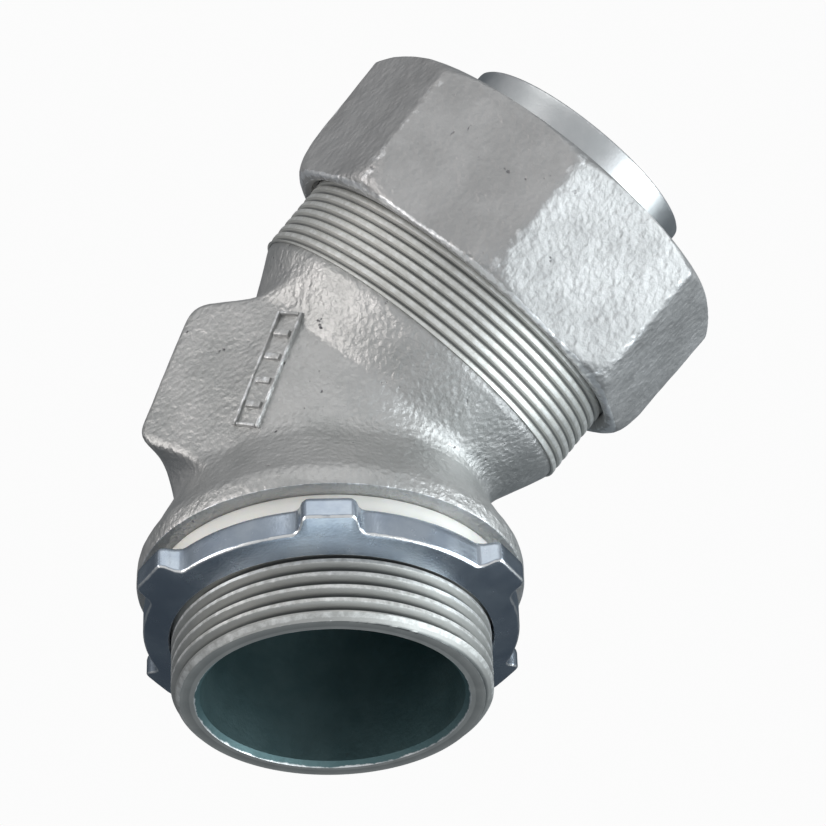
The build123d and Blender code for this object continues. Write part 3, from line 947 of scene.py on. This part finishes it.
def make_floor():
    """Pale floor that is clear when seen from below."""
    material = bpy.data.materials.new("floor_pale")
    material.use_nodes = True
    tree = material.node_tree
    shader = tree.nodes["Principled BSDF"]
    shader.inputs["Base Color"].default_value = (0.86, 0.86, 0.86, 1)
    shader.inputs["Roughness"].default_value = 0.8
    clear = tree.nodes.new("ShaderNodeBsdfTransparent")
    side = tree.nodes.new("ShaderNodeNewGeometry")
    choose = tree.nodes.new("ShaderNodeMixShader")
    tree.links.new(side.outputs["Backfacing"], choose.inputs[0])
    tree.links.new(shader.outputs[0], choose.inputs[1])
    tree.links.new(clear.outputs[0], choose.inputs[2])
    tree.links.new(choose.outputs[0], tree.nodes["Material Output"].inputs["Surface"])
    mesh = bpy.data.meshes.new("floor")
    half, height = 3.0, -hub_end * MM - 0.0002
    corners = [(-half, -half, height), (half, -half, height), (half, half, height), (-half, half, height)]
    mesh.from_pydata(corners, [], [(0, 1, 2, 3)])
    mesh.materials.append(material)
    floor = bpy.data.objects.new("floor", mesh)
    bpy.context.collection.objects.link(floor)
    # the floor takes shadows but sends no light back, so the underside stays dark
    floor.visible_diffuse = False
    floor.visible_glossy = False
    floor.visible_shadow = False


def make_world():
    """White behind the object, and a soft studio round it: bright in front, dark low and behind."""
    world = bpy.data.worlds.new("studio")
    bpy.context.scene.world = world
    world.use_nodes = True
    tree = world.node_tree
    background = tree.nodes["Background"]
    coordinates = tree.nodes.new("ShaderNodeTexCoord")
    facing = tree.nodes.new("ShaderNodeVectorMath")
    facing.operation = "DOT_PRODUCT"
    tree.links.new(coordinates.outputs["Generated"], facing.inputs[0])
    key = 0.55 * view_up + 0.8 * toward
    facing.inputs[1].default_value = tuple(key / np.linalg.norm(key))
    ramp = tree.nodes.new("ShaderNodeValToRGB")
    ramp.color_ramp.interpolation = "EASE"
    ramp.color_ramp.elements[0].position = 0.10
    ramp.color_ramp.elements[0].color = (0.07, 0.085, 0.10, 1)
    ramp.color_ramp.elements[1].position = 0.95
    ramp.color_ramp.elements[1].color = (0.62, 0.63, 0.64, 1)
    tree.links.new(span(tree, facing.outputs["Value"], -1.0, 1.0), ramp.inputs[0])
    tree.links.new(ramp.outputs[0], background.inputs["Color"])
    background.inputs["Strength"].default_value = 0.9
    backdrop = tree.nodes.new("ShaderNodeBackground")
    backdrop.inputs["Color"].default_value = (0.97, 0.97, 0.97, 1)
    rays = tree.nodes.new("ShaderNodeLightPath")
    choose = tree.nodes.new("ShaderNodeMixShader")
    tree.links.new(rays.outputs["Is Camera Ray"], choose.inputs[0])
    tree.links.new(background.outputs[0], choose.inputs[1])
    tree.links.new(backdrop.outputs[0], choose.inputs[2])
    tree.links.new(choose.outputs[0], tree.nodes["World Output"].inputs["Surface"])


make_camera()
make_floor()
make_world()
softbox("left_warm", (-0.93, 0.12, 0.34), 0.8, 0.30, 0.60, 2.5, (1.0, 0.95, 0.92))
softbox("right_cool", (0.80, -0.40, 0.45), 0.9, 0.85, 0.70, 5.0, (0.90, 0.97, 1.0))
softbox("far_right", (0.98, 0.14, 0.10), 0.8, 0.40, 0.60, 3.6, (0.92, 0.98, 1.0))
softbox("low_cool", (0.05, -0.85, 0.50), 0.8, 0.40, 0.30, 0.5, (0.88, 0.97, 1.0))
softbox("top_soft", (-0.05, 0.90, 0.30), 0.9, 0.80, 0.50, 1.0, (1.0, 0.99, 0.97))

bpy.context.scene.view_settings.view_transform = "Standard"
